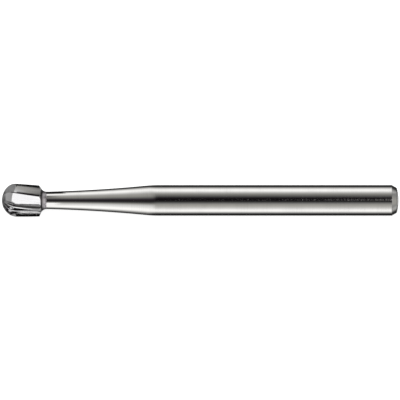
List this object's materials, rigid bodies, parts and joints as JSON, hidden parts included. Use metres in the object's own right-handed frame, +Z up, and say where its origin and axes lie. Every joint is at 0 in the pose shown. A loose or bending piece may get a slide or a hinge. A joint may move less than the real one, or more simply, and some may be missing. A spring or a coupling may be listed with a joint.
{
  "type": "carbide burr",
  "caption": "Friction-grip rotary burr: domed, back-tapered carbide head with right-hand helical blades, coved neck and plain round shank.",
  "frame": {"origin": "on the axis, at the rear edge of the gripped shank wall, where the end bevel begins", "axes": "+X along the axis towards the rear end of the shank, so the head points to -X; +Z up with the burr lying on its side on two blades and the shank"},
  "size_m": [0.0206, 0.0018, 0.0017],
  "materials": {
    "carbide": "tungsten carbide, fine ground, with grinding lines along the flutes",
    "steel": "stainless steel, cylindrically ground and polished, with very fine lines round the axis"
  },
  "bodies": {
    "root": {"carbide_head": "carbide", "steel_shank": "steel"}
  },
  "joints": []
}
